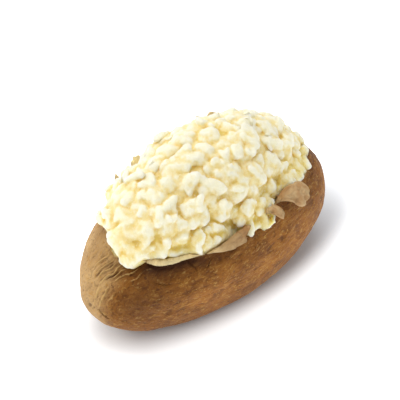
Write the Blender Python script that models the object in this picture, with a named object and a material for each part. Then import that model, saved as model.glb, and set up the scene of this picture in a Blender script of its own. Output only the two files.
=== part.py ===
"""A baked potato, split along its top and squeezed open, with its crumbled flesh heaped above the skin.

Two solids: the skin, a shell with a torn and curled mouth, and the flesh, which fills the skin and
stands above it in lumps. +X runs along the potato, +Z is up, and the origin is the middle of the
patch that it rests on. Sizes are in metres and angles in degrees.
"""

import bmesh
import bpy
import numpy as np

# The skin: an oval body that was DEPTH high while it was whole, cut off at RIM_HEIGHT.
LENGTH = 0.130
WIDTH = 0.0706
DEPTH = 0.060
REST_SINK = 0.0008  # how much the weight flattens the underside
BOX_SHIFT = np.array([0.0008, 0.0004])  # sets the middle of the box over the origin
END_POWER = {-1: 2.08, 1: 2.42}  # how blunt the -X and +X ends are
SECTION_POWER = 2.2
SKIN_WALL = 0.0018
RIM_HEIGHT = 0.0480
RIM_WAVE = 0.0007
FIT_GAP = 0.0003
FILL_GAP = 0.0013  # between the skin's inside and the flesh, below the mouth
LIP_TAPER = 0.45

# Swellings and hollows of the body: direction from its middle, share of the radius, spread.
BODY_FORMS = (
    ((-1.0, 0.0, -0.2), 0.03, 0.12),  # full near end
    ((-0.6, -1.0, -0.3), -0.10, 0.10),  # hollow low on the front, by the near end
    ((0.45, -1.0, 0.0), -0.01, 0.06),  # slack front
    ((-0.3, 1.0, -0.4), 0.02, 0.15),  # full back
)

# Pieces of the torn mouth: azimuth, half width, length, curl, lean of the tip along the rim.
# A curl of 0 stands up from the skin, 90 lies outwards and more hangs down.
TEARS = (
    (216.0, 28.0, 0.0040, 170.0, 0.0),  # lip along the near front
    (257.0, 8.0, 0.0045, 15.0, 0.0),  # tongue that still stands
    (277.5, 7.0, 0.0060, 150.0, 0.001),  # small torn corner
    (296.5, 13.5, 0.0180, 224.0, 0.003),  # large peeled flap
    (142.0, 10.0, 0.0030, 30.0, 0.0),  # rag at the near back
    (92.0, 16.0, 0.0035, 120.0, 0.0),  # lip along the back
    (48.0, 10.0, 0.0030, 40.0, 0.0),  # rag at the far back
)
PLAIN_LIP = (0.0010, 20.0)  # length and curl of the mouth between the tears

# The heap: a dome over the mouth, which the lumps are set into.
HEAP_LENGTH = 0.102
HEAP_WIDTH = 0.0515
HEAP_TOP = 0.0745
HEAP_SHIFT = (-0.001, 0.002)
HEAP_MOUTH_SPREAD = 4.0  # degrees of elevation over which the flesh widens, from the rim up

# Where flesh hangs over the rim: azimuth, half width, degrees of elevation below the rim.
OVERHANGS = ((270.0, 13.0, 10.0), (199.0, 11.0, 6.0), (312.0, 22.0, 6.0), (350.0, 22.0, 5.0))

# Lumps that stand out: azimuth and elevation on the dome, length, width, thickness, turn.
LUMPS = (
    (160, 38, 0.017, 0.015, 0.012, 20),
    (197, 7, 0.014, 0.012, 0.012, 60),
    (180, 30, 0.011, 0.010, 0.009, 0),
    (213, 30, 0.020, 0.017, 0.013, 30),
    (236, 34, 0.014, 0.012, 0.011, 80),
    (195, 48, 0.013, 0.009, 0.009, 10),
    (150, 52, 0.012, 0.006, 0.007, 100),
    (215, 76, 0.015, 0.010, 0.010, 15),
    (262, 58, 0.017, 0.011, 0.009, 20),
    (298, 62, 0.020, 0.017, 0.014, 30),
    (336, 46, 0.014, 0.013, 0.011, 0),
    (15, 60, 0.014, 0.011, 0.010, 10),
    (322, 3, 0.016, 0.014, 0.014, 70),
    (304, 6, 0.017, 0.013, 0.014, 20),
    (343, 8, 0.017, 0.013, 0.013, 80),
    (6, 8, 0.014, 0.011, 0.010, 10),
    (253, 46, 0.018, 0.011, 0.010, 10),
    (280, 36, 0.017, 0.013, 0.011, 20),
    (268, 10, 0.012, 0.014, 0.013, 80),
    (276, -8, 0.014, 0.018, 0.017, 80),
    (265, -5, 0.010, 0.011, 0.011, 80),
    (193, 65, 0.011, 0.010, 0.009, 40),
    (96, 72, 0.012, 0.010, 0.011, 0),
    (133, 68, 0.012, 0.009, 0.009, 20),
    (40, 66, 0.013, 0.011, 0.010, 60),
    (224, 18, 0.016, 0.010, 0.009, 10),
    (205, -2, 0.013, 0.009, 0.008, 0),
    (253, 2, 0.010, 0.009, 0.008, 0),
    (136, 32, 0.011, 0.009, 0.011, 90),
    (345, 36, 0.012, 0.012, 0.010, 0),
)
FILL_COUNT = 64
FILL_SIZE = (0.009, 0.014)  # widths of the lumps between them
FACETS = 14
FLESH_TRIANGLES = 2700
SEED = 7

SKIN_COLUMNS = 80  # shared out so that each stop is a share of them and the azimuth it reaches
COLUMN_STOPS = ((0, 0), (0.34, 195), (0.60, 272), (0.86, 316), (1, 360))
OUTER_ROWS = 12
LIP_ROWS = 6
INNER_ROWS = 10

HALF = np.array([LENGTH, WIDTH, DEPTH]) / 2
MIDDLE = np.array([*BOX_SHIFT, DEPTH / 2 - REST_SINK])
HEAP_HALF = np.array([HEAP_LENGTH / 2, HEAP_WIDTH / 2, HEAP_TOP - RIM_HEIGHT])
HEAP_MIDDLE = np.array([*(BOX_SHIFT + HEAP_SHIFT), RIM_HEIGHT])


def unit(vectors):
    """The vectors at length 1."""
    return vectors / np.linalg.norm(vectors, axis=-1, keepdims=True)


def direction(azimuth, elevation):
    """Unit directions in the body's own proportions, where the plain body is a ball."""
    a, e = np.radians(azimuth), np.radians(elevation)
    return np.stack([np.cos(e) * np.cos(a), np.cos(e) * np.sin(a), np.sin(e)], -1)


def body_scale(way):
    """How far the body reaches along each direction: a superellipse times its swellings."""
    power = np.where(way[..., 0] < 0, END_POWER[-1], END_POWER[1])
    across = (np.abs(way[..., 1:]) ** SECTION_POWER).sum(-1) ** (1 / SECTION_POWER)
    scale = (np.abs(way[..., 0]) ** power + across**power) ** (-1 / power)
    for towards, share, spread in BODY_FORMS:
        scale = scale * (1 + share * np.exp((way @ unit(np.array(towards)) - 1) / spread))
    return scale


def on_body(way):
    """Points of the body along each direction."""
    return MIDDLE + way * HALF * body_scale(way)[..., None]


def body_normal(way):
    """Outward normals of the body, from two small steps across it."""
    side = unit(np.cross(way, [0.31, 0.17, 0.93]))
    here = on_body(way)
    first = on_body(unit(way + 1e-4 * side)) - here
    second = on_body(unit(way + 1e-4 * np.cross(way, side))) - here
    return unit(np.cross(first, second))


def inside_body(way, inset, floor):
    """Points under the body's surface, and not below the floor."""
    points = on_body(way) - body_normal(way) * inset
    points[..., 2] = np.maximum(points[..., 2], floor)
    return points


def rim_elevation(azimuth):
    """Elevation at which the body passes the rim's wavy height, found by halving."""
    wave = np.cos(np.radians(5 * azimuth + 40)) + 0.6 * np.cos(np.radians(11 * azimuth))
    height = RIM_HEIGHT + RIM_WAVE * wave
    low, high = np.full_like(azimuth, -20.0), np.full_like(azimuth, 80.0)
    for _ in range(30):
        half = (low + high) / 2
        below = on_body(direction(azimuth, half))[..., 2] < height
        low, high = np.where(below, half, low), np.where(below, high, half)
    return low


def mouth_edge(azimuth):
    """Length, curl and lean of the mouth's edge: the plain lip, and each tear in its own window."""
    length = np.full_like(azimuth, PLAIN_LIP[0])
    curl = np.full_like(azimuth, PLAIN_LIP[1])
    lean = np.zeros_like(azimuth)
    for at, half_width, tear_length, tear_curl, tear_lean in TEARS:
        window = np.clip(1 - ((azimuth - at) / half_width) ** 2, 0, None) ** 1.5
        length += window * (tear_length - PLAIN_LIP[0])
        curl += window * (tear_curl - PLAIN_LIP[1])
        lean += window * tear_lean
    return length, curl, lean


def skin_rings(spare=0.0):
    """Rings of the shell, from the underside up the outside, over the edge and down the inside.

    spare thickens the shell on every side, which gives the space that its neighbour keeps clear.
    """
    share, stop = np.array(COLUMN_STOPS).T
    azimuth = np.interp(np.arange(SKIN_COLUMNS) / SKIN_COLUMNS, share, stop)
    rim = rim_elevation(azimuth)
    rows = np.linspace(0, 1, OUTER_ROWS + 1)[1:, None]
    outer = inside_body(direction(azimuth[None], -90 + (rim[None] + 90) * rows), -spare, -spare)
    rows = np.linspace(1, 0, INNER_ROWS + 1)[:-1, None]
    way = direction(azimuth[None], -90 + (rim[None] + 90) * rows)
    inner = inside_body(way, SKIN_WALL + spare, SKIN_WALL + spare)

    point, out = on_body(way[0]), body_normal(way[0])
    along = unit(np.roll(point, -1, 0) - np.roll(point, 1, 0))
    up = unit(np.cross(out, along))
    length, curl, lean = (value[:, None] for value in mouth_edge(azimuth))
    lip, lip_inside = [], []
    for row in range(LIP_ROWS):
        turn = np.radians(curl) * (1 - (1 - (row + 0.5) / LIP_ROWS) ** 2)
        heading = up * np.cos(turn) + out * np.sin(turn)
        facing = out * np.cos(turn) - up * np.sin(turn)
        point = point + (heading * length + along * lean) / LIP_ROWS
        end = heading * spare * (row == LIP_ROWS - 1)
        wall = SKIN_WALL * (1 - LIP_TAPER * (row + 1) / LIP_ROWS)
        lip.append(point + facing * spare + end)
        lip_inside.append(point - facing * (wall + spare) + end)
    return [*outer, *lip, *reversed(lip_inside), *inner]


def closed_mesh(name, rings):
    """A mesh from closed rings, joined in order, with a pole of its own at each end."""
    count, size = len(rings), len(rings[0])
    poles = [rings[0].mean(0), rings[-1].mean(0)]
    points = np.concatenate([*rings, poles])
    here = np.arange(size)
    after = (here + 1) % size
    faces = []
    for ring in range(count - 1):
        low, high = ring * size, (ring + 1) * size
        faces += np.stack([low + here, low + after, high + after], 1).tolist()
        faces += np.stack([low + here, high + after, high + here], 1).tolist()
    bottom, top = count * size, count * size + 1
    faces += np.stack([np.full(size, bottom), after, here], 1).tolist()
    last = (count - 1) * size
    faces += np.stack([np.full(size, top), last + here, last + after], 1).tolist()
    mesh = bpy.data.meshes.new(name)
    mesh.from_pydata(points.tolist(), [], faces)
    return mesh


def dome(azimuth, elevation):
    """Point and outward normal of the plain heap, an ellipsoid whose middle is at the rim's height."""
    way = direction(azimuth, elevation)
    return HEAP_MIDDLE + way * HEAP_HALF, unit(way / HEAP_HALF)


def lump_places(draw):
    """The lumps' azimuths, elevations, sizes and turns: the named ones, then a spiral of smaller ones."""
    named = np.array(LUMPS, float)
    index = np.arange(FILL_COUNT)
    elevation = np.degrees(np.arcsin((index + 0.5) / FILL_COUNT))
    azimuth = (index * 137.508 + draw.uniform(-9, 9, FILL_COUNT)) % 360
    width = draw.uniform(*FILL_SIZE, FILL_COUNT)
    shape = width[:, None] * draw.uniform(0.75, 1.15, (FILL_COUNT, 3)) * [1.2, 1.0, 0.8]
    turn = draw.uniform(0, 180, FILL_COUNT)
    return np.concatenate([named, np.column_stack([azimuth, elevation, shape, turn])])


def lump_frames(places):
    """Each lump's middle and its axes times its half sizes, lying on the dome."""
    middle, normal = dome(places[:, 0], places[:, 1])
    side = unit(np.cross(normal, [0.0, 0.0, 1.0] + 1e-6 * np.ones(3)))
    rise = np.cross(side, normal)
    turn = np.radians(places[:, 5])[:, None]
    first = side * np.cos(turn) + rise * np.sin(turn)
    second = np.cross(normal, first)
    axes = np.stack([first, second, normal], 1)
    return middle, axes * places[:, 2:5, None] / 2


def facets_of(draw, count):
    """Facet normals spread evenly and shaken, and their distances, of count lumps of half size 1."""
    index = np.arange(FACETS)
    height = 1 - 2 * (index + 0.5) / FACETS
    spin = np.radians(137.508) * index
    flat = np.sqrt(1 - height**2)
    even = np.stack([flat * np.cos(spin), flat * np.sin(spin), height], -1)
    normals = unit(even + draw.normal(0, 0.22, (count, FACETS, 3)))
    return normals, draw.uniform(0.80, 1.0, (count, FACETS))


def ray_exit(ray, middle, axes, normals, distances):
    """How many ray lengths from MIDDLE each ray leaves one lump, or 0 where it misses it."""
    back = np.linalg.inv(axes.T)
    start = back @ (MIDDLE - middle)
    heading = ray @ back.T
    speed = heading @ normals.T
    space = distances - normals @ start
    with np.errstate(divide="ignore", invalid="ignore"):
        at = space / speed
    leave = np.where(speed > 0, at, np.inf).min(1)
    enter = np.where(speed < 0, at, -np.inf).max(1)
    return np.where(leave > np.maximum(enter, 0), leave, 0)


def heap_reach(ray):
    """How many ray lengths each ray goes to leave the dome or the last of its lumps."""
    draw = np.random.default_rng(SEED)
    places = lump_places(draw)
    normals, distances = facets_of(draw, len(places))
    middle, axes = lump_frames(places)
    start, heading = (MIDDLE - HEAP_MIDDLE) / HEAP_HALF, ray / HEAP_HALF
    a, b = (heading**2).sum(-1), (heading * start).sum(-1)
    inside = b**2 - a * ((start**2).sum() - 1)
    reach = (np.sqrt(np.maximum(inside, 0)) - b) / a
    for k in range(len(places)):
        reach = np.maximum(reach, ray_exit(ray, middle[k], axes[k], normals[k], distances[k]))
    return reach


def flesh_points(way):
    """The flesh along each direction: the skin's inside up to the mouth, then the lumpy heap."""
    ray = way * HALF
    azimuth = np.degrees(np.arctan2(way[:, 1], way[:, 0])) % 360
    elevation = np.degrees(np.arcsin(way[:, 2]))
    inside = inside_body(way, SKIN_WALL + FILL_GAP, SKIN_WALL + FILL_GAP)
    above = elevation - rim_elevation(azimuth)
    for at, half_width, drop in OVERHANGS:
        above += drop * np.clip(1 - ((azimuth - at) / half_width) ** 2, 0, None)
    share = np.clip(above / HEAP_MOUTH_SPREAD, 0, 1)
    share = share * share * (3 - 2 * share)
    within = np.linalg.norm(inside - MIDDLE, axis=1) / np.linalg.norm(ray, axis=1)
    reach = heap_reach(ray)
    reach = np.where(elevation > rim_elevation(azimuth), reach, np.maximum(reach, within))
    heap = MIDDLE + ray * reach[:, None]
    return inside + (heap - inside) * share[:, None]


def material(name, colour, roughness):
    """A plain material of one colour."""
    made = bpy.data.materials.new(name)
    made.use_nodes = True
    shader = made.node_tree.nodes["Principled BSDF"]
    shader.inputs["Base Color"].default_value = (*colour, 1.0)
    shader.inputs["Roughness"].default_value = roughness
    return made


def make_skin(spare=0.0):
    """The skin's shell, or with spare the clearance round it."""
    mesh = closed_mesh("skin", skin_rings(spare))
    made = bpy.data.objects.new("skin" if not spare else "skin_clearance", mesh)
    bpy.context.scene.collection.objects.link(made)
    return made


def keep_largest(mesh):
    """Deletes all of the mesh but the largest group of faces that are joined along edges."""
    edit = bmesh.new()
    edit.from_mesh(mesh)
    left, islands = set(edit.faces), []
    while left:
        front = {left.pop()}
        island = set(front)
        while front:
            near = {face for old in front for edge in old.edges for face in edge.link_faces}
            front = near & left
            left -= front
            island |= front
        islands.append(island)
    largest = max(islands, key=len)
    spare = [face for face in edit.faces if face not in largest]
    bmesh.ops.delete(edit, geom=spare, context="FACES")
    edit.to_mesh(mesh)
    edit.free()


def make_flesh(clearance):
    """The flesh: a ball of directions pushed out to the fill and the heap, less the skin's clearance."""
    edit = bmesh.new()
    bmesh.ops.create_icosphere(edit, subdivisions=6, radius=1.0)
    mesh = bpy.data.meshes.new("flesh")
    edit.to_mesh(mesh)
    edit.free()
    way = np.empty(len(mesh.vertices) * 3)
    mesh.vertices.foreach_get("co", way)
    points = flesh_points(unit(way.reshape(-1, 3)))
    mesh.vertices.foreach_set("co", points.ravel())
    made = bpy.data.objects.new("flesh", mesh)
    bpy.context.scene.collection.objects.link(made)
    soften = made.modifiers.new("soft lumps", "SMOOTH")
    soften.iterations = 2
    thin = made.modifiers.new("fewer faces", "DECIMATE")
    thin.ratio = FLESH_TRIANGLES / len(mesh.polygons)
    cut = made.modifiers.new("fit in the skin", "BOOLEAN")
    cut.operation = "DIFFERENCE"
    cut.solver = "EXACT"
    cut.object = clearance
    bpy.context.view_layer.update()
    graph = bpy.context.evaluated_depsgraph_get()
    made.data = bpy.data.meshes.new_from_object(made.evaluated_get(graph))
    made.modifiers.clear()
    keep_largest(made.data)
    return made


def main():
    for old in list(bpy.data.objects):
        bpy.data.objects.remove(old)
    skin = make_skin()
    skin.data.materials.append(material("skin", (0.26, 0.12, 0.045), 0.7))
    skin.data.shade_smooth()
    clearance = make_skin(FIT_GAP)
    flesh = make_flesh(clearance)
    flesh.data.materials.clear()
    flesh.data.materials.append(material("flesh", (0.90, 0.80, 0.52), 0.6))
    bpy.data.objects.remove(clearance)


main()
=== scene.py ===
"""Looks for the baked potato: a wrinkled, torn skin, and crumbled flesh heaped above it.

The skin and the flesh are worked out as surfaces from the same named sizes as the solids, and every
pattern is fixed by a seed. Sizes are in metres unless a name says mm, and angles are in degrees.
"""

import bmesh
import bpy
import numpy as np
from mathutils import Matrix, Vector


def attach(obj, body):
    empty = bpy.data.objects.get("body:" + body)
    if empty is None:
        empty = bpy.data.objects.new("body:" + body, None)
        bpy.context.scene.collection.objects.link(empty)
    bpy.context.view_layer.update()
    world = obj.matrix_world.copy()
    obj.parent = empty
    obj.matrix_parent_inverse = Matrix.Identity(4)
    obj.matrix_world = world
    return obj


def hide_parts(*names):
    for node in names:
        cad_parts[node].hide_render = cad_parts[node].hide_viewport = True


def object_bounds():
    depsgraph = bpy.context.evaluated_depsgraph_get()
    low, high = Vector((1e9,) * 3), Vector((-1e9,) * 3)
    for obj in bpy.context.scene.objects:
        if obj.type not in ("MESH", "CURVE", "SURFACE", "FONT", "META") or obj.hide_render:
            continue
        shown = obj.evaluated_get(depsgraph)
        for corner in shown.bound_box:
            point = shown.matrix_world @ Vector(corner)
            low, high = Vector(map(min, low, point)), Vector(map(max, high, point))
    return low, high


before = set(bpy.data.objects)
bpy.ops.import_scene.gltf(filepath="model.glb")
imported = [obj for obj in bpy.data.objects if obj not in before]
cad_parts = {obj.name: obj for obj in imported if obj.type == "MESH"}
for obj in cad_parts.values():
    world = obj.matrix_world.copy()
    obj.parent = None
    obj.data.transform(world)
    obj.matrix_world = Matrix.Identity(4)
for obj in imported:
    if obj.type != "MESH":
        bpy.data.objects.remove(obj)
solid_box = [list(corner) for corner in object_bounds()]

# ---------------------------------------------------------------- sizes of the potato

LENGTH, WIDTH, DEPTH = 0.130, 0.0706, 0.060
REST_SINK = 0.0008
BOX_SHIFT = np.array([0.0008, 0.0004])
END_POWER = {-1: 2.08, 1: 2.42}
SECTION_POWER = 2.2
RIM_HEIGHT, RIM_WAVE = 0.0480, 0.0007
SKIN_WALL = 0.0018
EDGE_WALL = 0.0005  # at the torn edge, where the flesh has come away from the skin

# Swellings of the body: direction, share of its reach, and spread.
BODY_FORMS = (
    ((-1.0, 0.0, -0.2), 0.03, 0.12),
    ((-0.6, -1.0, -0.3), -0.10, 0.10),
    ((0.45, -1.0, 0.0), -0.01, 0.06),
    ((-0.3, 1.0, -0.4), 0.02, 0.15),
)
# Tears of the mouth's edge: azimuth, half width, length, curl, and lean along the edge.
TEARS = (
    (213.0, 26.0, 0.0042, 165.0, 0.0),
    (253.0, 13.0, 0.0062, 160.0, 0.0010),
    (279.0, 3.6, 0.0120, 172.0, 0.0),
    (294.0, 8.5, 0.0152, 196.0, -0.0010),
    (142.0, 10.0, 0.0030, 30.0, 0.0),
    (117.0, 6.5, 0.0098, 84.0, 0.0),
    (100.0, 8.5, 0.0110, 82.0, 0.0010),
    (72.0, 6.5, 0.0112, 80.0, 0.0),
    (56.0, 8.0, 0.0130, 82.0, -0.0010),
    (36.0, 12.0, 0.0030, 60.0, 0.0),
)
PLAIN_LIP = (0.0010, 20.0)  # length and curl between the tears
FRAY = 0.0009  # how far the torn edge strays from a smooth line
CRUMPLE = 0.0011  # how far a long tear buckles
RESIDUE = 0.00022  # flesh left on the inside of a tear

HEAP_LENGTH, HEAP_WIDTH, HEAP_TOP = 0.0990, 0.0500, 0.0747
HEAP_SHIFT = (-0.0012, 0.0012)
MOUTH_SPREAD = 5.0  # degrees above the rim over which the flesh spreads out past the skin
# Where the flesh hangs over the rim: azimuth, half width and drop. A drop below 0 draws it back.
OVERHANGS = (
    (269.5, 11.0, 12.0),
    (194.0, 10.0, 8.0),
    (166.0, 22.0, -6.0),
    (216.0, 20.0, -1.0),
    (250.0, 13.0, -2.0),
    (309.0, 13.0, 12.0),
    (338.0, 18.0, 14.0),
    (62.0, 16.0, 5.0),
    (118.0, 12.0, 4.0),
)

# Lumps of flesh that stand out: azimuth, elevation, length, width, thickness, turn.
LUMPS = (
    (160, 38, 0.017, 0.015, 0.012, 20),
    (197, 3, 0.015, 0.014, 0.014, 60),
    (180, 30, 0.011, 0.010, 0.009, 0),
    (213, 30, 0.020, 0.017, 0.013, 30),
    (236, 34, 0.014, 0.012, 0.011, 80),
    (195, 48, 0.013, 0.009, 0.009, 10),
    (150, 52, 0.012, 0.006, 0.007, 100),
    (215, 76, 0.015, 0.010, 0.010, 15),
    (262, 58, 0.017, 0.011, 0.009, 20),
    (298, 62, 0.020, 0.017, 0.014, 30),
    (336, 46, 0.014, 0.013, 0.011, 0),
    (15, 60, 0.014, 0.011, 0.010, 10),
    (322, 3, 0.016, 0.014, 0.014, 70),
    (304, 6, 0.017, 0.013, 0.014, 20),
    (343, 8, 0.017, 0.013, 0.013, 80),
    (6, 8, 0.014, 0.011, 0.010, 10),
    (253, 46, 0.018, 0.011, 0.010, 10),
    (280, 36, 0.017, 0.013, 0.011, 20),
    (268, 10, 0.012, 0.014, 0.013, 80),
    (276, -8, 0.014, 0.018, 0.017, 80),
    (265, -5, 0.010, 0.011, 0.011, 80),
    (193, 65, 0.011, 0.010, 0.009, 40),
    (96, 72, 0.012, 0.010, 0.011, 0),
    (133, 68, 0.012, 0.009, 0.009, 20),
    (40, 66, 0.013, 0.011, 0.010, 60),
    (224, 18, 0.016, 0.010, 0.009, 10),
    (205, -2, 0.013, 0.009, 0.008, 0),
    (253, 2, 0.010, 0.009, 0.008, 0),
    (136, 32, 0.011, 0.009, 0.011, 90),
    (345, 36, 0.012, 0.012, 0.010, 0),
    (336, -6, 0.019, 0.014, 0.015, 60),
    (354, -2, 0.015, 0.013, 0.012, 80),
    (200, 24, 0.013, 0.013, 0.011, 80),
    (223, 2, 0.016, 0.010, 0.010, 10),
    (238, 5, 0.012, 0.010, 0.010, 80),
    (312, 0, 0.016, 0.014, 0.014, 20),
    (328, -4, 0.014, 0.013, 0.014, 60),
)
FILL_COUNT, FILL_SIZE = 64, (0.009, 0.014)
FACETS = 14
LUMP_SEED = 7

CHUNKS, CHUNK_SIZE = 360, (0.0044, 0.0080)
BITS, BIT_SIZE = 260, (0.0022, 0.0040)
CRUMBS, CRUMB_SIZE = 14, (0.0012, 0.0020)
GRAIN_SPREAD = 45.0  # how far the chunks turn from the potato's length, since a fork drew them
OUTLINE, FLATTER = 1.07, 0.45  # of the heap: its outline, in domes, and the share of swell it keeps
VOXEL = 0.00062
PIT = 0.0009  # the deepest hollow between chunks
RAGGED = 0.00050  # how far a chunk's surface strays from its rounded facets
SUNK_UNIT, HOLLOW_UNIT = 0.006, 0.0008  # depths that the flesh's painted-shade marks count as 1
FOLD_UNIT = 0.0006  # height that the skin's relief mark counts as 1
FLESH_GLOW, CRUMB_GLOW = 0.0044, 0.0006  # how far light spreads inside them

CAMERA_AWAY, CAMERA_LENS = 0.534, 111.2
CAMERA_TURN, CAMERA_RISE = -48.0, 42.0
CAMERA_AIM = (-0.00233, 0.0115)  # of the potato's middle: to the right and up
# Oval of the floor's painted shadow: its middle, radii and turn.
SHADE_MIDDLE, SHADE_RADII, SHADE_TURN = (0.018, 0.0015, 0.0), (0.094, 0.036, 1.0), -6.0

HALF = np.array([LENGTH, WIDTH, DEPTH]) / 2
MIDDLE = np.array([*BOX_SHIFT, DEPTH / 2 - REST_SINK])
HEAP_HALF = np.array([HEAP_LENGTH / 2, HEAP_WIDTH / 2, HEAP_TOP - RIM_HEIGHT])
HEAP_MIDDLE = np.array([*(BOX_SHIFT + HEAP_SHIFT), RIM_HEIGHT])


# ---------------------------------------------------------------- noise and small vector helpers


def unit(vectors):
    """The vectors at length 1."""
    return vectors / np.maximum(np.linalg.norm(vectors, axis=-1, keepdims=True), 1e-12)


def smooth_step(low, high, values):
    """0 below low, 1 above high, and 3t^2 - 2t^3 between them."""
    t = np.clip((values - low) / (high - low), 0, 1)
    return t * t * (3 - 2 * t)


def scatter(cells, seed):
    """Three repeatable numbers from 0 to 1 for each whole-number cell, by mixing its bits."""
    c = cells.astype(np.int64)
    n = (c[..., 0] * 73856093) ^ (c[..., 1] * 19349663) ^ (c[..., 2] * 83492791)
    n = n ^ (seed * 2654435761)
    out = []
    for salt in (0x9E3779B1, 0x85EBCA77, 0xC2B2AE3D):
        h = (n + salt) & 0xFFFFFFFF
        h = ((h ^ (h >> 16)) * 0x7FEB352D) & 0xFFFFFFFF
        h = ((h ^ (h >> 15)) * 0x846CA68B) & 0xFFFFFFFF
        out.append((h ^ (h >> 16)) / 0xFFFFFFFF)
    return np.stack(out, -1)


def corners(cells):
    """The eight whole-number corners of each cell, as an added axis."""
    steps = np.array([[i, j, k] for i in (0, 1) for j in (0, 1) for k in (0, 1)])
    return cells[..., None, :] + steps, steps


def noise(points, size, seed):
    """Smooth noise from -1 to 1: each corner of a grid of that size has a slope, and they blend by
    6t^5 - 15t^4 + 10t^3 across the cell."""
    p = points / size
    cell = np.floor(p)
    t = p - cell
    all_corners, steps = corners(cell)
    slopes = scatter(all_corners, seed) * 2 - 1
    rise = (slopes * (t[..., None, :] - steps)).sum(-1)
    fade = t**3 * (t * (t * 6 - 15) + 10)
    weight = np.where(steps == 1, fade[..., None, :], 1 - fade[..., None, :]).prod(-1)
    return np.clip((rise * weight).sum(-1) * 1.5, -1, 1)


def fractal(points, size, seed, octaves=3, keep=0.5):
    """Noise plus octaves of half its size and keep times its height."""
    total, height = np.zeros(points.shape[:-1]), 1.0
    for octave in range(octaves):
        total += height * noise(points, size / 2**octave, seed + 31 * octave)
        height *= keep
    return total


def pebbles(points, size, seed):
    """Rounded pebbles packed in space: 1 at the heart of each and 0 between them, as 1 minus the
    squared distance to the nearest of the points strewn one to a cell."""
    p = points / size
    cell = np.floor(p)
    nearest = np.full(points.shape[:-1], 9.0)
    for i in (-1, 0, 1):
        for j in (-1, 0, 1):
            for k in (-1, 0, 1):
                other = cell + (i, j, k)
                away = other + 0.15 + 0.7 * scatter(other, seed) - p
                nearest = np.minimum(nearest, (away**2).sum(-1))
    return np.clip(1 - nearest, 0, 1)


# ---------------------------------------------------------------- the body that both pieces follow


def direction(azimuth, elevation):
    """Unit directions in the body's own proportions, where the plain body is a ball."""
    a, e = np.radians(azimuth), np.radians(elevation)
    return np.stack([np.cos(e) * np.cos(a), np.cos(e) * np.sin(a), np.sin(e)], -1)


def body_scale(way):
    """How far the body reaches along each direction: a superellipse times its swellings."""
    power = np.where(way[..., 0] < 0, END_POWER[-1], END_POWER[1])
    across = (np.abs(way[..., 1:]) ** SECTION_POWER).sum(-1) ** (1 / SECTION_POWER)
    scale = (np.abs(way[..., 0]) ** power + across**power) ** (-1 / power)
    for towards, share, spread in BODY_FORMS:
        scale = scale * (1 + share * np.exp((way @ unit(np.array(towards)) - 1) / spread))
    return scale


def on_body(way):
    """Points of the body along each direction."""
    return MIDDLE + way * HALF * body_scale(way)[..., None]


def body_normal(way):
    """Outward normals of the body, from two small steps across it."""
    side = unit(np.cross(way, [0.31, 0.17, 0.93]))
    here = on_body(way)
    first = on_body(unit(way + 1e-4 * side)) - here
    second = on_body(unit(way + 1e-4 * np.cross(way, side))) - here
    return unit(np.cross(first, second))


def rim_elevation(azimuth):
    """Elevation at which the body passes the rim's wavy height, found by halving."""
    wave = np.cos(np.radians(5 * azimuth + 40)) + 0.6 * np.cos(np.radians(11 * azimuth))
    height = RIM_HEIGHT + RIM_WAVE * wave
    low, high = np.full_like(azimuth, -20.0), np.full_like(azimuth, 80.0)
    for _ in range(30):
        half = (low + high) / 2
        below = on_body(direction(azimuth, half))[..., 2] < height
        low, high = np.where(below, half, low), np.where(below, high, half)
    return low


def mouth_edge(azimuth):
    """Length, curl and lean of the mouth's edge: the plain lip, and each tear in its own window."""
    length = np.full_like(azimuth, PLAIN_LIP[0])
    curl = np.full_like(azimuth, PLAIN_LIP[1])
    lean = np.zeros_like(azimuth)
    for at, half_width, tear_length, tear_curl, tear_lean in TEARS:
        window = np.clip(1 - ((azimuth - at) / half_width) ** 2, 0, None)
        length += window * (tear_length - PLAIN_LIP[0])
        curl = np.where(window > 0, curl + window**0.4 * (tear_curl - curl), curl)
        lean += window * tear_lean
    return length, curl, lean


# ---------------------------------------------------------------- meshes from arrays


def mesh_object(name, points, faces, marks=None, smooth=True):
    """An object whose mesh has these points and faces, with one named number per point for each mark."""
    mesh = bpy.data.meshes.new(name)
    sides = faces.shape[1]
    mesh.vertices.add(len(points))
    mesh.vertices.foreach_set("co", np.ascontiguousarray(points, np.float32).ravel())
    mesh.loops.add(faces.size)
    mesh.loops.foreach_set("vertex_index", np.ascontiguousarray(faces, np.int32).ravel())
    mesh.polygons.add(len(faces))
    mesh.polygons.foreach_set("loop_start", np.arange(0, faces.size, sides, dtype=np.int32))
    mesh.update(calc_edges=True)
    mesh.validate()
    for mark, values in (marks or {}).items():
        layer = mesh.attributes.new(mark, "FLOAT", "POINT")
        layer.data.foreach_set("value", np.ascontiguousarray(values, np.float32).ravel())
    if smooth:
        mesh.shade_smooth()
    made = bpy.data.objects.new(name, mesh)
    bpy.context.scene.collection.objects.link(made)
    return made


def ring_faces(rings, size):
    """Triangles of a closed tube of rings of this many points, with a pole after the last ring for
    each end: the first ring's pole, then the last ring's."""
    here = np.arange(size)
    after = (here + 1) % size
    low = (np.arange(rings - 1) * size)[:, None]
    a, b, c, d = low + here, low + after, low + size + after, low + size + here
    walls = np.concatenate([np.stack([a, b, c], -1), np.stack([a, c, d], -1)]).reshape(-1, 3)
    bottom, top, last = rings * size, rings * size + 1, (rings - 1) * size
    first_cap = np.stack([np.full(size, bottom), after, here], 1)
    last_cap = np.stack([np.full(size, top), last + here, last + after], 1)
    return np.concatenate([walls, first_cap, last_cap])


# ---------------------------------------------------------------- the skin

SKIN_COLUMNS, OUTER_ROWS, LIP_ROWS, INNER_ROWS = 640, 104, 18, 12

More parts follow.
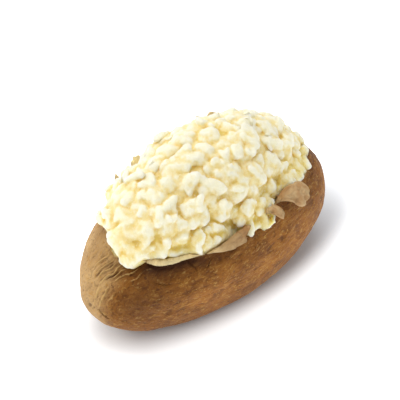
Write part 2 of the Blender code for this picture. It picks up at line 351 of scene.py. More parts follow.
# Folds of the skin: azimuth and elevation of each end, half width and height. A height below 0 is
# a crease.
FOLDS = (
    (201, 36, 188, 24, 0.0007, 0.0008),
    (195, 36, 185, 25, 0.0007, 0.0007),
    (189, 37, 180, 21, 0.0008, 0.0009),
    (184, 37, 176, 22, 0.0007, 0.0007),
    (178, 37, 172, 22, 0.0008, 0.0007),
    (208, 35, 196, 26, 0.0007, 0.0004),
    (171, 38, 167, 24, 0.0008, 0.0006),
    (187, 22, 185, 5, 0.0009, 0.0006),
    (181, 19, 179, 3, 0.0010, 0.0005),
    (192, 20, 190, 8, 0.0008, 0.0004),
    (183, 1, 191, -4, 0.0009, -0.0009),
    (212, 28, 223, 23, 0.0007, -0.0005),
    (228, 38, 236, 27, 0.0008, -0.0005),
    (242, 33, 240, 27, 0.0007, -0.0005),
    (248, 36, 263, 35, 0.0008, 0.0008),
    (262, 22, 270, 24, 0.0006, -0.0003),
    (20, 30, 26, 12, 0.0009, 0.0006),
    (14, 28, 12, 10, 0.0009, 0.0006),
    (100, 30, 112, 24, 0.0008, -0.0005),
    (70, 20, 84, 22, 0.0008, -0.0005),
)


def folds(points, azimuth, elevation):
    """Height of the folds: each is a ridge (1 - 2d^2) exp(-d^2) across its line, where d is the
    distance from it in half widths, and it fades out towards both ends."""
    height = np.zeros(points.shape[:-1])
    waver = 0.0013 * noise(points, 0.0065, 5) + 0.0005 * noise(points, 0.0024, 6)
    for az1, el1, az2, el2, half_width, rise in FOLDS:
        middle = np.array([(az1 + az2) / 2, (el1 + el2) / 2])
        steps = direction(middle[0] + np.array([0, 1, 0]), middle[1] + np.array([0, 0, 1]))
        here, east, north = on_body(steps)
        pitch = np.array([np.linalg.norm(east - here), np.linalg.norm(north - here)])
        turned = (azimuth - middle[0] + 180) % 360 - 180
        place = np.stack([turned, elevation - middle[1]], -1) * pitch
        line = np.array([az2 - az1, el2 - el1]) * pitch
        span = np.linalg.norm(line)
        along = place @ line / span
        across = (place @ [-line[1], line[0]] / span + waver) / (0.8 * half_width)
        fade = np.clip(1 - (np.abs(along) / (span * 0.62)) ** 2, 0, 1)
        height += rise * fade * (1 - 2 * across**2) * np.exp(-(across**2))
    return height


def wrinkles(points, azimuth, elevation):
    """Relief of the skin in metres outwards, as its broad part and its fine part: sagging 20 mm
    across, leathery wrinkles drawn out along the potato, the folds, crinkles at the near end, small
    puckers under the mouth, and pits."""
    bend = 0.004 * noise(points, 0.018, 3)
    drawn = points * [0.45, 1.0, 1.0] + bend[..., None]
    broad = 0.0006 * fractal(points, 0.024, 11, 2)
    broad += 0.00034 * noise(drawn, 0.0085, 13)

    fine = folds(points, azimuth, elevation)
    fine += 0.00013 * fractal(drawn, 0.0034, 17, 3, 0.65)
    ridge = 1 - np.abs(noise(drawn, 0.0046, 23))
    fine += 0.00012 * (ridge**4 - 0.3)

    fan = np.stack([azimuth * 0.62 - elevation * 0.42, elevation * 0.30, azimuth * 0.1], -1) / 1000
    near_end = np.exp(-(((azimuth - 186) / 23) ** 2) - ((elevation - 18) / 24) ** 2)
    crinkle = 1 - np.abs(noise(fan + 0.3 * points, 0.0030, 41))
    fine += 0.00055 * near_end * (crinkle**2 - 0.45)

    rim = rim_elevation(azimuth)
    under_mouth = np.exp(-(((elevation - rim + 7) / 8) ** 2))
    fine += 0.00022 * noise(points * [1.0, 1.0, 0.5], 0.0030, 43) * under_mouth
    pits = np.clip(pebbles(points, 0.0080, 47) - 0.88, 0, None) / 0.12
    fine -= 0.00030 * pits**2
    return broad, fine


def make_skin():
    """The skin's shell: rings up the outside, over the curled edge and down the inside, with their
    points crowded to the mouth and to the wrinkled end. A tear's rings walk along the surface while
    they turn from upwards to outwards and over."""
    even = np.arange(SKIN_COLUMNS) * 360.0 / SKIN_COLUMNS
    azimuth = (even - 24 * np.sin(np.radians(even - 205))) % 360
    azimuth = np.sort(azimuth)
    rim = rim_elevation(azimuth)
    rows = np.linspace(0, 1, OUTER_ROWS + 1)[1:, None] ** 0.66
    elevation = -90 + (rim[None] + 90) * rows
    azimuths = np.broadcast_to(azimuth, elevation.shape)
    way = direction(azimuths, elevation)
    plain = on_body(way)
    broad, fine = wrinkles(plain, azimuths, elevation)
    low, high = np.array(solid_box)
    room = np.minimum(plain - low, high - plain)[..., :2].min(-1)
    relief = np.minimum(broad + fine, 0.7 * np.maximum(room, 0))
    outer = plain + body_normal(way) * relief[..., None]
    rows = np.linspace(1, 0, INNER_ROWS + 1)[:-1, None]
    inner_elevation = -90 + (rim[None] + 90) * rows
    inner_way = direction(np.broadcast_to(azimuth, inner_elevation.shape), inner_elevation)
    inner = on_body(inner_way) - body_normal(inner_way) * SKIN_WALL
    outer[..., 2] = np.maximum(outer[..., 2], 0)
    inner[..., 2] = np.maximum(inner[..., 2], SKIN_WALL)

    point, out = outer[-1], body_normal(way[-1])
    along = unit(np.roll(plain[-1], -1, 0) - np.roll(plain[-1], 1, 0))
    up = unit(np.cross(out, along))
    length, curl, lean = mouth_edge(azimuth)
    circle = np.stack([np.cos(np.radians(azimuth)), np.sin(np.radians(azimuth)), 0 * azimuth], -1)
    ragged = fractal(circle, 0.07, 53, 4, 0.65)
    length = (length + FRAY * ragged * np.clip(length / 0.003, 0.6, 2.4)).clip(0.0004)[:, None]
    curl = (curl * (1 + 0.10 * noise(circle, 0.14, 59)))[:, None]
    lean = lean[:, None]
    lip, lip_inside = [], []
    for row in range(LIP_ROWS):
        share = (row + 0.5) / LIP_ROWS
        turn = np.radians(curl) * (1 - (1 - share) ** 2)
        heading = up * np.cos(turn) + out * np.sin(turn)
        facing = out * np.cos(turn) - up * np.sin(turn)
        point = point + (heading * length + along * lean) / LIP_ROWS
        crumple = noise(point + 0.3 * share, 0.0055, 61) * np.clip(length[:, 0] / 0.01, 0, 1) * share
        thinned = smooth_step(0, 1, (row + 1) / LIP_ROWS) ** 0.6
        wall = SKIN_WALL + (EDGE_WALL - SKIN_WALL) * thinned
        shaken = point + facing * (CRUMPLE * crumple)[:, None]
        residue = RESIDUE * noise(point, 0.0016, 67) * (wall > EDGE_WALL * 1.2)
        lip.append(shaken)
        lip_inside.append(shaken - facing * (wall + residue[:, None]))
    rings = [*outer, *lip, *reversed(lip_inside), *inner]
    points = in_box(np.concatenate([*rings, rings[0].mean(0)[None], rings[-1].mean(0)[None]]))
    faces = ring_faces(len(rings), SKIN_COLUMNS)

    count = len(rings)
    inside = np.zeros((count, SKIN_COLUMNS))
    inside[OUTER_ROWS + LIP_ROWS :] = 1.0
    inside[OUTER_ROWS + LIP_ROWS - 1] = 0.5
    to_rim = np.zeros((count, SKIN_COLUMNS))
    to_rim[:OUTER_ROWS] = elevation - rim[None]
    heights = np.zeros((count, SKIN_COLUMNS))
    heights[:OUTER_ROWS] = fine
    turns = np.broadcast_to(azimuth, (count, SKIN_COLUMNS))
    heading = np.zeros((count, SKIN_COLUMNS))
    heading[:OUTER_ROWS] = elevation
    near_lip = np.exp(-(((turns - 220) / 28) ** 2))
    # Painted shade: darker under the torn mouth and towards the bottom; the band by the rim is partly
    # real browning.
    scorch = np.exp(-(((to_rim + 2) / 8) ** 2)) * (0.35 + 0.65 * near_lip)
    scorch += 1.00 * np.exp(-(((turns - 208) / 18) ** 2) - ((heading - 10) / 26) ** 2)
    scorch += 0.70 * np.exp(-(((to_rim + 1.5) / 3.5) ** 2) - ((turns - 222) / 22) ** 2)
    scorch += 0.40 * smooth_step(0, -30, heading)
    browned = np.exp(-(((turns - 254) / 10) ** 2)) + 0.5 * np.exp(-(((turns - 288) / 14) ** 2))
    waver = np.zeros((count, SKIN_COLUMNS))
    waver[:OUTER_ROWS] = 12 * fractal(plain, 0.018, 113, 2)
    # The near end's side that faces the key light is paler: partly its own tone, partly painted light.
    tan = smooth_step(195, 180, turns + 0.4 * waver) * smooth_step(112, 152, turns + 1.4 * waver)
    tan *= smooth_step(-50, -15, heading + waver)
    floury = np.exp(-(((turns - 222) / 22) ** 2)) + np.exp(-(((turns - 88) / 42) ** 4))
    marks = {
        "inside": inside,
        "scorch": scorch * (1 - inside),
        "tan": tan,
        "relief": heights / FOLD_UNIT,
        "browned": browned,
        "floury": floury,
    }
    for name, values in marks.items():
        marks[name] = np.append(values.ravel(), [values[0, 0], values[-1, 0]])
    return mesh_object("skin_shell", points, faces, marks)


# ---------------------------------------------------------------- the flesh


def dome(azimuth, elevation):
    """Point and outward normal of the plain heap, an ellipsoid about a point at the rim's height."""
    way = direction(azimuth, elevation)
    return HEAP_MIDDLE + way * HEAP_HALF, unit(way / HEAP_HALF)


def lump_places(draw):
    """The lumps' places, sizes and turns: the named ones, then a spiral of smaller ones."""
    named = np.array(LUMPS, float)
    index = np.arange(FILL_COUNT)
    elevation = np.degrees(np.arcsin((index + 0.5) / FILL_COUNT))
    azimuth = (index * 137.508 + draw.uniform(-9, 9, FILL_COUNT)) % 360
    width = draw.uniform(*FILL_SIZE, FILL_COUNT)
    shape = width[:, None] * draw.uniform(0.75, 1.15, (FILL_COUNT, 3)) * [1.2, 1.0, 0.8]
    turn = draw.uniform(0, 180, FILL_COUNT)
    return np.concatenate([named, np.column_stack([azimuth, elevation, shape, turn])])


def laid(normal, sizes, turn):
    """Axes times half sizes of lumps that lie on a surface: the first along it at turn, the last
    along its normal."""
    side = unit(np.cross(normal, [0.0, 0.0, 1.0] + 1e-6 * np.ones(3)))
    rise = np.cross(side, normal)
    angle = np.radians(turn)[:, None]
    first = side * np.cos(angle) + rise * np.sin(angle)
    second = np.cross(normal, first)
    return np.stack([first, second, normal], 1) * sizes[:, :, None] / 2


def facets_of(draw, count):
    """Facet normals spread evenly and shaken, and their distances, of count lumps of half size 1."""
    index = np.arange(FACETS)
    height = 1 - 2 * (index + 0.5) / FACETS
    spin = np.radians(137.508) * index
    flat = np.sqrt(1 - height**2)
    even = np.stack([flat * np.cos(spin), flat * np.sin(spin), height], -1)
    normals = unit(even + draw.normal(0, 0.22, (count, FACETS, 3)))
    return normals, draw.uniform(0.80, 1.0, (count, FACETS))


def ball(level):
    """Directions and triangles of an even ball."""
    made = bpy.data.meshes.new("ball")
    edit = bmesh.new()
    bmesh.ops.create_icosphere(edit, subdivisions=level, radius=1.0)
    edit.to_mesh(made)
    edit.free()
    way = np.empty(len(made.vertices) * 3, np.float32)
    made.vertices.foreach_get("co", way)
    faces = np.empty(len(made.polygons) * 3, np.int32)
    made.polygons.foreach_get("vertices", faces)
    bpy.data.meshes.remove(made)
    return unit(way.reshape(-1, 3).astype(float)), faces.reshape(-1, 3)


def rounded(way, normals, distances, power):
    """Reach of a rounded lump along each direction: the sum over its facets of (slope / distance) to
    a power, taken back by that root, so a low power rounds its edges away."""
    slope = np.maximum(np.einsum("vi,kfi->kvf", way, normals), 0) / distances[:, None]
    return (slope**power).sum(-1) ** (-1 / power)


def lumps_mesh(middle, axes, normals, distances, level, power):
    """Points (lump, point, xyz) and triangles of rounded lumps, made ragged by noise that differs
    from lump to lump."""
    way, faces = ball(level)
    reach = rounded(way, normals, distances, power)
    away = np.einsum("kv,vi,kij->kvj", reach, way, axes)
    points = middle[:, None] + away
    own = points + 0.013 * np.arange(len(middle))[:, None, None]
    ragged = noise(own, 0.0042, 97) + 0.6 * noise(own, 0.0021, 101)
    points = points + unit(away) * (RAGGED * ragged)[..., None]
    steps = np.arange(len(middle)) * len(way)
    return points, (faces[None] + steps[:, None, None]).reshape(-1, 3)


def ray_exit(ray, middle, axes, normals, distances):
    """How many ray lengths from MIDDLE each ray leaves one lump, or 0 where it misses it."""
    back = np.linalg.inv(axes.T)
    start = back @ (MIDDLE - middle)
    heading = ray @ back.T
    speed = heading @ normals.T
    space = distances - normals @ start
    with np.errstate(divide="ignore", invalid="ignore"):
        at = space / speed
    leave = np.where(speed > 0, at, np.inf).min(1)
    enter = np.where(speed < 0, at, -np.inf).max(1)
    return np.where(leave > np.maximum(enter, 0), leave, 0)


def heap_reach(ray, sets):
    """How many ray lengths each ray goes to leave the dome or the last of the lumps of the sets."""
    start, heading = (MIDDLE - HEAP_MIDDLE) / HEAP_HALF, ray / HEAP_HALF
    a, b = (heading**2).sum(-1), (heading * start).sum(-1)
    inside = b**2 - a * ((start**2).sum() - 1)
    reach = (np.sqrt(np.maximum(inside, 0)) - b) / a
    for middle, axes, normals, distances in sets:
        for k in range(len(middle)):
            reach = np.maximum(reach, ray_exit(ray, middle[k], axes[k], normals[k], distances[k]))
    return reach


def keep_in_mouth(points):
    """Draws points that lie below the rim in to the skin's inside, except where the flesh hangs over
    the rim."""
    way = (points - MIDDLE) / HALF
    far = np.linalg.norm(way, axis=-1)
    way = way / far[..., None]
    azimuth = np.degrees(np.arctan2(way[..., 1], way[..., 0])) % 360
    elevation = np.degrees(np.arcsin(way[..., 2].clip(-1, 1)))
    above = elevation - rim_elevation(azimuth)
    for at, half_width, drop in OVERHANGS:
        above += drop * np.clip(1 - ((azimuth - at) / half_width) ** 2, 0, None)
    inside = on_body(way) - body_normal(way) * (SKIN_WALL * 0.6)
    limit = np.linalg.norm((inside - MIDDLE) / HALF, axis=-1)
    free = smooth_step(0, MOUTH_SPREAD, above)
    short = np.minimum(far, limit)
    return MIDDLE + way * HALF * (short + (far - short) * free)[..., None]


def settled(points):
    """Points of the heap drawn towards its outline, as flesh that was patted down: above the rim, the
    distance from the outline becomes FLATTER of what it was."""
    way = (points - HEAP_MIDDLE) / HEAP_HALF
    far = np.linalg.norm(way, axis=-1, keepdims=True)
    share = smooth_step(RIM_HEIGHT - 0.001, RIM_HEIGHT + 0.008, points[..., 2:])
    keep = 1 + share * (FLATTER - 1)
    reach = np.where(far > 0.8, OUTLINE + (far - OUTLINE) * keep, far)
    blend = smooth_step(0.8, 1.0, far)
    return HEAP_MIDDLE + way / np.maximum(far, 1e-9) * (far + (reach - far) * blend) * HEAP_HALF


def in_box(points):
    """Points held inside the box of the solids."""
    low, high = np.array(solid_box)
    return np.clip(points, [*(low[:2] + 0.0001), low[2]], high - 0.0001)


def surface_places(draw, count, sets, lowest):
    """Points strewn over the heap, with their outward normals, from rays that leave it."""
    height = draw.uniform(np.sin(np.radians(lowest)), 1, count)
    azimuth = draw.uniform(0, 360, count)
    way = direction(azimuth, np.degrees(np.arcsin(height)))
    side = unit(np.cross(way, [0.31, 0.17, 0.93]))
    other = np.cross(way, side)
    rays = np.concatenate([way, unit(way + 0.02 * side), unit(way + 0.02 * other)]) * HALF
    hits = MIDDLE + rays * heap_reach(rays, sets)[:, None]
    here, first, second = np.split(hits, 3)
    normal = unit(np.cross(first - here, second - here))
    outward = unit(here - HEAP_MIDDLE + [0, 0, 0.012])
    return here, unit(normal + 0.8 * outward)


def voxel_skin(made, size):
    """The object's mesh drawn again as one closed surface of small even faces, as arrays."""
    modifier = made.modifiers.new("fused", "REMESH")
    modifier.mode = "VOXEL"
    modifier.voxel_size = size
    bpy.context.view_layer.update()
    graph = bpy.context.evaluated_depsgraph_get()
    mesh = bpy.data.meshes.new_from_object(made.evaluated_get(graph))
    points = np.empty(len(mesh.vertices) * 3, np.float32)
    mesh.vertices.foreach_get("co", points)
    faces = np.empty(len(mesh.polygons) * 4, np.int32)
    mesh.polygons.foreach_get("vertices", faces)
    bpy.data.meshes.remove(mesh)
    bpy.data.objects.remove(made)
    return points.reshape(-1, 3).astype(float), faces.reshape(-1, 4)


def point_normals(points, faces):
    """Normal at each point: the sum of the crossed diagonals of the faces round it."""
    first, second, third, fourth = (points[faces[:, side]] for side in range(4))
    across = np.cross(third - first, fourth - second)
    total = np.zeros_like(points)
    for side in range(4):
        for axis in range(3):
            total[:, axis] += np.bincount(faces[:, side], across[:, axis], len(points))
    return unit(total)


def relax(points, faces, rounds, share):
    """Moves each point part of the way to the middle of its neighbours, round after round."""
    ends = np.concatenate([faces[:, [i, (i + 1) % 4]] for i in range(4)])
    count = np.bincount(ends[:, 0], minlength=len(points))[:, None]
    for _ in range(rounds):
        total = np.zeros_like(points)
        for axis in range(3):
            total[:, axis] = np.bincount(ends[:, 0], points[ends[:, 1], axis], len(points))
        points = points + share * (total / np.maximum(count, 1) - points)
    return points


def sunk_depth(points):
    """How far each point lies under the heap's outline round it, in metres: the highest reach in each
    small window of directions, blurred, less the point's own reach."""
    away = points - (HEAP_MIDDLE - [0, 0, 0.004])
    reach = np.linalg.norm(away, axis=1)
    way = away / HEAP_HALF
    rise = way[:, 2] / np.linalg.norm(way, axis=1)
    rows, columns = 36, 96
    u = (rise.clip(-0.999, 0.999) + 1) / 2 * rows
    v = (np.arctan2(way[:, 1], way[:, 0]) / (2 * np.pi) % 1) * columns
    top = np.zeros((rows, columns))
    np.maximum.at(top, (u.astype(int), v.astype(int) % columns), reach)
    for _ in range(2):
        top = (np.roll(top, 1, 1) + top + np.roll(top, -1, 1)) / 3
        padded = np.pad(top, ((1, 1), (0, 0)), mode="edge")
        top = (padded[:-2] + padded[1:-1] + padded[2:]) / 3
    u, v = np.clip(u - 0.5, 0, rows - 1.001), (v - 0.5) % columns
    i, j = u.astype(int), v.astype(int)
    right = (j + 1) % columns
    lower = top[i, j] * (1 - v + j) + top[i, right] * (v - j)
    upper = top[i + 1, j] * (1 - v + j) + top[i + 1, right] * (v - j)
    return lower * (1 - u + i) + upper * (u - i) - reach


def broken_facets(draw, count):
    """Facet normals and distances of broken bits of half size 1: the six sides of a box, shaken, and
    three cuts across its corners."""
    box = np.array([[1, 0, 0], [-1, 0, 0], [0, 1, 0], [0, -1, 0], [0, 0, 1], [0, 0, -1]], float)
    sides = unit(box + draw.normal(0, 0.24, (count, 6, 3)))
    cuts = unit(draw.normal(0, 1, (count, 3, 3)))
    near, far = draw.uniform(0.75, 1.0, (count, 6)), draw.uniform(0.8, 1.1, (count, 3))
    return np.concatenate([sides, cuts], 1), np.concatenate([near, far], 1)


def strewn(draw, count, sizes, spread, sets, bury, lowest, tilt):
    """Rounded lumps strewn over the sets' surface: sizes from small to large, crowded to the small
    end by spread, sunk by the shares bury of their thickness and tilted at random."""
    spots, facing = surface_places(draw, count, sets, lowest)
    width = sizes[0] * (sizes[1] / sizes[0]) ** (draw.uniform(0, 1, count) ** spread)
    shape = width[:, None] * draw.uniform(0.75, 1.25, (count, 3)) * [1.65, 1.0, 0.75]
    spots = spots - facing * (shape[:, 2] * draw.uniform(*bury, count))[:, None]
    facing = unit(facing + tilt * draw.normal(0, 1, (count, 3)))
    normals, distances = broken_facets(draw, count)
    spots = keep_in_mouth(spots)
    side = unit(np.cross(facing, [0.0, 0.0, 1.0] + 1e-6 * np.ones(3)))
    lengthways = np.degrees(np.arctan2(np.cross(side, facing)[:, 0], side[:, 0]))
    turn = lengthways + draw.normal(0, GRAIN_SPREAD, count)
    return spots, laid(facing, shape, turn), normals, distances


def make_heap():
    """The heap of crumbled flesh: large lumps on a dome, chunks and nodules over them, fused into one
    skin of small faces, then roughened into grains."""
    draw = np.random.default_rng(LUMP_SEED)
    places = lump_places(draw)
    normals, distances = facets_of(draw, len(places))
    middle, normal = dome(places[:, 0], places[:, 1])
    large = (middle, laid(normal, places[:, 2:5] * 0.96, places[:, 5]), normals, distances)
    chunks = strewn(draw, CHUNKS, CHUNK_SIZE, 1.0, [large], (0.26, 0.48), 8, 0.28)
    bits = strewn(draw, BITS, BIT_SIZE, 1.0, [large, chunks], (0.22, 0.42), 8, 0.3)

    way, faces = ball(5)
    base = HEAP_MIDDLE + way * HEAP_HALF * 0.99
    base[:, 2] = np.maximum(base[:, 2], RIM_HEIGHT - 0.010)
    parts, joins, total = [base], [faces], len(base)
    for lumps, level, power in ((large, 5, 6.0), (chunks, 4, 5.0), (bits, 3, 4.0)):
        points, triangles = lumps_mesh(*lumps, level, power)
        parts.append(points.reshape(-1, 3))
        joins.append(triangles + total)
        total += len(parts[-1])
    points = keep_in_mouth(np.concatenate(parts))
    points, faces = voxel_skin(mesh_object("heap_parts", points, np.concatenate(joins)), VOXEL)
    broad = relax(points, faces, 70, 0.9)
    facing = point_normals(broad, faces)
    pit = ((broad - points) * facing).sum(1)
    points = relax(points, faces, 1, 0.3) + settled(broad) - broad
    points = points + facing * (0.8 * np.clip(pit - PIT, 0, None))[:, None]
    facing = point_normals(points, faces)
    warp = 0.0013 * np.stack([noise(points, 0.0050, seed) for seed in (103, 107, 109)], -1)
    packed = (points + warp) * [0.72, 1.0, 1.0]
    swell = 0.0011 * (pebbles(packed, 0.0066, 71) - 0.55)
    swell += 0.0006 * (pebbles(packed, 0.0036, 73) - 0.55)
    swell += 0.00034 * (pebbles(points, 0.0019, 77) - 0.55)
    swell += 0.00024 * fractal(points, 0.0024, 79, 3, 0.8)
    smooth = unit(relax(facing, faces, 8, 0.8))
    swell *= 0.4 + 0.6 * smooth_step(RIM_HEIGHT - 0.003, RIM_HEIGHT + 0.004, points[:, 2])
    points = in_box(points + smooth * swell[:, None])
    facing = point_normals(points, faces)
    # Marks for the flesh's painted shade: how far each point lies under the outline and under a blurred
    # surface.
    blurred = relax(points, faces, 36, 0.8)
    hollow = ((blurred - points) * facing).sum(1)
    marks = {"sunk": sunk_depth(points) / SUNK_UNIT, "hollow": hollow / HOLLOW_UNIT}
    heap = mesh_object("flesh_heap", points, faces, marks)
    return heap, points, point_normals(points, faces), draw


def make_core():
    """The flesh inside the skin, up to a little under the heap."""
    way, faces = ball(6)
    elevation = np.degrees(np.arcsin(way[:, 2]))
    fill = on_body(way) - body_normal(way) * (SKIN_WALL * 0.9)
    fill[:, 2] = np.clip(fill[:, 2], SKIN_WALL, RIM_HEIGHT + 0.0026)
    bumps = 0.0006 * noise(fill, 0.004, 83)
    fill[:, 2] += bumps * (elevation > 20)
    # The core gets a light painted shade.
    marks = {"sunk": np.zeros(len(fill)), "hollow": np.full(len(fill), -0.3)}
    return mesh_object("flesh_core", fill, faces, marks)


def make_crumbs(ground, facing, draw):
    """Loose crumbs of flesh that lie on the heap, each a rounded lump with its own facets."""
    high = np.flatnonzero(ground[:, 2] > RIM_HEIGHT + 0.011)
    at = high[draw.integers(0, len(high), CRUMBS)]
    width = draw.uniform(*CRUMB_SIZE, CRUMBS)
    shape = width[:, None] * draw.uniform(0.75, 1.2, (CRUMBS, 3)) * [1.4, 1.0, 0.7]
    spots = ground[at] + facing[at] * (0.05 * shape[:, 2])[:, None]
    tilted = unit(facing[at] + 0.3 * draw.normal(0, 1, (CRUMBS, 3)))
    axes = laid(tilted, shape, draw.uniform(0, 180, CRUMBS))
    points, faces = lumps_mesh(spots, axes, *broken_facets(draw, CRUMBS), 3, 6.0)
    points = in_box(points.reshape(-1, 3))
    marks = {"sunk": sunk_depth(points) / SUNK_UNIT, "hollow": np.zeros(len(points))}
    return mesh_object("flesh_crumbs", points, faces, marks)


# ---------------------------------------------------------------- materials


class Wire:
    """An output of a material's nodes. Arithmetic on it adds Math nodes."""

    def __init__(self, paint, socket):
        self.paint, self.socket = paint, socket

    def maths(self, operation, *values):
        return self.paint.node("ShaderNodeMath", {"operation": operation}, values)

    def __add__(self, other):
        return self.maths("ADD", self, other)

    def __sub__(self, other):
        return self.maths("SUBTRACT", self, other)

    def __rsub__(self, other):
        return self.maths("SUBTRACT", other, self)

    def __mul__(self, other):
        return self.maths("MULTIPLY", self, other)

    __radd__, __rmul__ = __add__, __mul__

    def least(self, other):
        return self.maths("MINIMUM", self, other)

    def from_to(self, low, high):
        """0 at low and 1 at high, eased and held outside them."""
        settings = {"interpolation_type": "SMOOTHSTEP"}
        sockets = {"Value": self, "From Min": low, "From Max": high}
        return self.paint.node("ShaderNodeMapRange", settings, sockets)


class Paint:
    """A material being made. node() adds any node and gives its first output."""

    def __init__(self, name):
        self.material = bpy.data.materials.new(name)
        self.material.use_nodes = True
        self.tree = self.material.node_tree
        self.shader = self.tree.nodes["Principled BSDF"]

    def put(self, socket, value):
        if isinstance(value, Wire):
            self.tree.links.new(value.socket, socket)
        else:
            socket.default_value = value

    def node(self, kind, settings=None, sockets=(), output=0):
        made = self.tree.nodes.new(kind)
        for name, value in (settings or {}).items():
            if name == "stops":
                ramp = made.color_ramp.elements
                while len(ramp) < len(value):
                    ramp.new(0.5)
                for stop, (position, colour) in zip(ramp, value):
                    stop.position, stop.color = position, (*colour, 1)
            else:
                setattr(made, name, value)
        named = sockets.items() if isinstance(sockets, dict) else enumerate(sockets)
        for name, value in named:
            self.put(made.inputs[name], value)
        return Wire(self, made.outputs[output])

    def place(self):
        return self.node("ShaderNodeTexCoord", output="Object")

    def mark(self, name):
        return self.node("ShaderNodeAttribute", {"attribute_name": name}, output="Fac")

    def noise(self, place, scale, detail=3.0, roughness=0.55, distortion=0.0, stretch=(1, 1, 1)):
        """Noise from about 0.2 to 0.8 at scale grains to the metre, squeezed by stretch."""
        if stretch != (1, 1, 1):
            place = self.node("ShaderNodeMapping", {}, {"Vector": place, "Scale": stretch})
        sockets = {"Vector": place, "Scale": scale, "Detail": detail, "Roughness": roughness}
        return self.node("ShaderNodeTexNoise", {}, {**sockets, "Distortion": distortion})

    def mix(self, first, second, share):
        """The first colour where share is 0 and the second where it is 1."""
        first, second = (c if isinstance(c, Wire) else (*c, 1) for c in (first, second))
        made = self.tree.nodes.new("ShaderNodeMix")
        made.data_type = "RGBA"
        for socket, value in ((0, share), (6, first), (7, second)):
            self.put(made.inputs[socket], value)
        return Wire(self, made.outputs[2])

    def bump(self, height, distance, under=None, strength=1.0):
        sockets = {"Height": height, "Distance": distance, "Strength": strength}
        return self.node("ShaderNodeBump", {}, {**sockets, **({"Normal": under} if under else {})})

    def finish(self, **sockets):
        for name, value in sockets.items():
            self.put(self.shader.inputs[name.replace("_", " ")], value)
        return self.material


def srgb(red, green, blue):
    """A colour given as it looks, from 0 to 255, as linear light."""
    values = np.array([red, green, blue]) / 255
    return tuple(np.where(values < 0.04045, values / 12.92, ((values + 0.055) / 1.055) ** 2.4))


def skin_material():
    """Baked russet skin: golden brown with a fine netted grain, short streaks along the potato and dark
    specks, and buff inside. Painted shade darkens its furrows, the skin under the torn mouth (partly
    real browning) and its underside; a painted highlight makes its ridges paler, and the near end is
    paler, partly as painted light."""
    paint = Paint("baked skin")
    place = paint.place()
    inside, scorch = paint.mark("inside"), paint.mark("scorch")
    tan, relief, browned = paint.mark("tan"), paint.mark("relief"), paint.mark("browned")
    floury = paint.mark("floury")
    blotch = paint.noise(place, 120, 3, 0.6, 0.3)
    cloud = paint.noise(place, 30, 2, 0.5)
    streak = paint.noise(place, 480, 3, 0.65, 0.5, (0.35, 1, 1))
    net = paint.noise(place, 950, 3, 0.7, 0.8, (0.6, 1, 1))
    flecks = paint.noise(place, 800, 2, 0.5, 0.0, (0.25, 1, 1))
    spots = paint.noise(place, 700, 2, 0.5)

    calm = 1 - 0.35 * tan
    brown = paint.mix(srgb(132, 79, 11), srgb(156, 97, 24), cloud.from_to(0.35, 0.65))
    brown = paint.mix(brown, srgb(102, 56, 3), (1 - blotch.from_to(0.32, 0.55)) * 0.6)
    # Paler near end, partly painted light.
    brown = paint.mix(brown, srgb(202, 164, 110), tan * (0.10 + 0.7 * cloud + 0.9 * blotch).least(1.0))
    brown = paint.mix(brown, srgb(182, 129, 53), streak.from_to(0.50, 0.72) * 0.6)
    brown = paint.mix(brown, srgb(79, 41, 2), (1 - streak.from_to(0.28, 0.48)) * 0.7 * calm)
    brown = paint.mix(brown, srgb(205, 161, 85), net.from_to(0.54, 0.72) * 0.6)
    brown = paint.mix(brown, srgb(74, 38, 4), (1 - net.from_to(0.28, 0.46)) * 0.6 * calm)
    brown = paint.mix(brown, srgb(213, 172, 99), flecks.from_to(0.64, 0.74) * 0.45)
    brown = paint.mix(brown, srgb(62, 31, 4), spots.from_to(0.66, 0.72) * 0.55 * calm)
    # Painted shade under the mouth and on the underside, partly real browning by the rim.
    brown = paint.mix(brown, srgb(67, 32, 2), scorch * (0.22 + 0.75 * blotch).least(0.9))
    # Painted shade in the furrows, and on the line after next a painted highlight on the ridges.
    painted_crease_shade = (0.0 - relief).from_to(0.06, 0.7)
    brown = paint.mix(brown, srgb(81, 43, 10), painted_crease_shade * 0.75)
    brown = paint.mix(brown, srgb(213, 176, 111), relief.from_to(0.30, 1.1) * 0.65)
    buff = paint.mix(srgb(226, 200, 152), srgb(196, 152, 102), blotch.from_to(0.35, 0.65))
    buff = paint.mix(buff, srgb(150, 104, 62), (1 - net.from_to(0.25, 0.45)) * 0.5)
    buff = paint.mix(buff, srgb(146, 98, 54), browned * (0.4 + 0.6 * blotch))
    buff = paint.mix(buff, srgb(240, 224, 172), floury * (1.6 * blotch).least(1.0))
    colour = paint.mix(brown, buff, inside)

    roughness = 0.60 + 0.25 * net - 0.10 * streak
    coarse = paint.bump(streak, 0.0009)
    fine = paint.bump(net, 0.0006, coarse)
    return paint.finish(Base_Color=colour, Roughness=roughness, Normal=fine, Specular_IOR_Level=0.22)


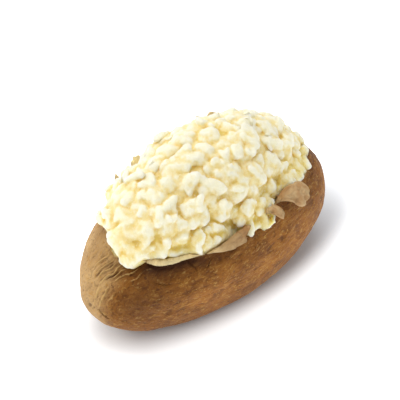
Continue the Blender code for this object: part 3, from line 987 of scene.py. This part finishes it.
def flesh_material(name, glow):
    """Fluffed potato, moist and grainy: nearly white where it stands out, with painted shade making it
    yellow in its hollows and low down.
    Glow is how far light spreads inside it, in metres."""
    paint = Paint(name)
    place = paint.place()
    sunk, hollow = paint.mark("sunk"), paint.mark("hollow")
    cloud = paint.noise(place, 130, 3, 0.55)
    grain = paint.noise(place, 900, 4, 0.65)
    fine = paint.noise(place, 2600, 2, 0.6)
    height = paint.node("ShaderNodeSeparateXYZ", {}, [place], output=2)
    low = 1 - height.from_to(0.048, 0.069)
    # Painted shade: yellow in the hollows and lower down, where light has bounced in the flesh.
    painted_hollow_shade = 0.25 * sunk + 0.70 * hollow + 0.6 * (cloud - 0.5) + 0.50 * low - 0.02
    cream = paint.mix(srgb(250, 241, 215), srgb(244, 226, 164), painted_hollow_shade.from_to(-0.50, 0.35))
    colour = paint.mix(cream, srgb(236, 212, 116), painted_hollow_shade.from_to(0.25, 0.90))
    colour = paint.mix(colour, srgb(255, 250, 234), grain.from_to(0.50, 0.72) * 0.45)
    colour = paint.mix(colour, srgb(226, 196, 116), (1 - fine.from_to(0.30, 0.50)) * 0.15)
    roughness = 0.60 + 0.30 * grain
    coarse = paint.bump(grain, 0.0006)
    normal = paint.bump(fine, 0.0002, coarse)
    return paint.finish(
        Base_Color=colour,
        Roughness=roughness,
        Normal=normal,
        Subsurface_Weight=1.0,
        Subsurface_Radius=(1.0, 0.97, 0.84),
        Subsurface_Scale=glow,
        Specular_IOR_Level=0.08,
    )


def painted_shadow_floor_material():
    """White studio paper whose emission paints the potato's shadow: it glows outside an oval round the
    potato and not inside it.
    """
    paint = Paint("white paper")
    place = paint.place()
    oval = {"Location": SHADE_MIDDLE, "Rotation": (0, 0, np.radians(SHADE_TURN)), "Scale": SHADE_RADII}
    painted_shadow_space = paint.node("ShaderNodeMapping", {"vector_type": "TEXTURE"}, {"Vector": place, **oval})
    away = paint.node("ShaderNodeVectorMath", {"operation": "LENGTH"}, [painted_shadow_space], output=1)
    # Painted shadow: the floor's emission is off near the potato and rises outside the oval.
    glow = away.from_to(0.64, 1.00) * 0.72 + away.from_to(0.95, 1.5) * 0.3
    light = paint.mix((0, 0, 0), (1, 1, 1), glow)
    return paint.finish(
        Base_Color=(0.82, 0.84, 0.87, 1),
        Roughness=0.9,
        Specular_IOR_Level=0.1,
        Emission_Color=light,
        Emission_Strength=1.0,
    )


# ---------------------------------------------------------------- the scene


def aim(made, spot, target):
    """Puts an object at a spot, looking at the target."""
    made.location = spot
    made.rotation_euler = (Vector(target) - Vector(spot)).to_track_quat("-Z", "Y").to_euler()


def make_camera():
    """The camera, aimed a little above the potato's middle from round to the near end's front."""
    a, e = np.radians(CAMERA_TURN), np.radians(CAMERA_RISE)
    right = np.array([np.cos(a), np.sin(a), 0])
    ahead = np.array([-np.sin(a) * np.cos(e), np.cos(a) * np.cos(e), -np.sin(e)])
    up = np.cross(right, ahead)
    data = bpy.data.cameras.new("camera")
    data.sensor_width, data.lens = 36, CAMERA_LENS
    camera = bpy.data.objects.new("camera", data)
    bpy.context.scene.collection.objects.link(camera)
    aim(camera, MIDDLE - CAMERA_AWAY * ahead, MIDDLE + CAMERA_AIM[0] * right + CAMERA_AIM[1] * up)
    bpy.context.scene.camera = camera


def area_light(name, spot, size, watts, colour=(1, 1, 1)):
    data = bpy.data.lights.new(name, "AREA")
    data.shape, data.size, data.energy, data.color = "DISK", size, watts, colour
    light = bpy.data.objects.new(name, data)
    bpy.context.scene.collection.objects.link(light)
    aim(light, spot, (0, 0, 0.03))


def make_studio():
    """A white floor with a painted shadow round the potato, white surroundings, and two large soft
    lights: one behind and one above.
    """
    side = 3.0
    points = np.array([[-side, -side, 0], [side, -side, 0], [side, side, 0], [-side, side, 0]])
    floor = mesh_object("studio_floor", points, np.array([[0, 1, 2, 3]]), smooth=False)
    floor.data.materials.append(painted_shadow_floor_material())
    world = bpy.data.worlds.new("studio")
    bpy.context.scene.world = world
    world.use_nodes = True
    background = world.node_tree.nodes["Background"]
    background.inputs["Color"].default_value = (1, 1, 1, 1)
    background.inputs["Strength"].default_value = 0.52
    area_light("key", (-0.36, 0.62, 0.76), 0.45, 2.6, (1.0, 0.98, 0.95))
    area_light("top", (-0.05, 0.10, 0.95), 0.80, 4.5)
    bpy.context.scene.view_settings.view_transform = "Standard"


make_camera()
make_studio()
skin = make_skin()
skin.data.materials.append(skin_material())
flesh = flesh_material("fluffed flesh", FLESH_GLOW)
crumb = flesh_material("flesh crumb", CRUMB_GLOW)
heap, *ground = make_heap()
crumbs = make_crumbs(*ground)
crumbs.data.materials.append(crumb)
pieces = [(skin, "skin"), (heap, "flesh"), (make_core(), "flesh"), (crumbs, "flesh")]
for piece, slot in pieces:
    if not piece.data.materials:
        piece.data.materials.append(flesh)
    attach(piece, "root")
    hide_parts(slot)
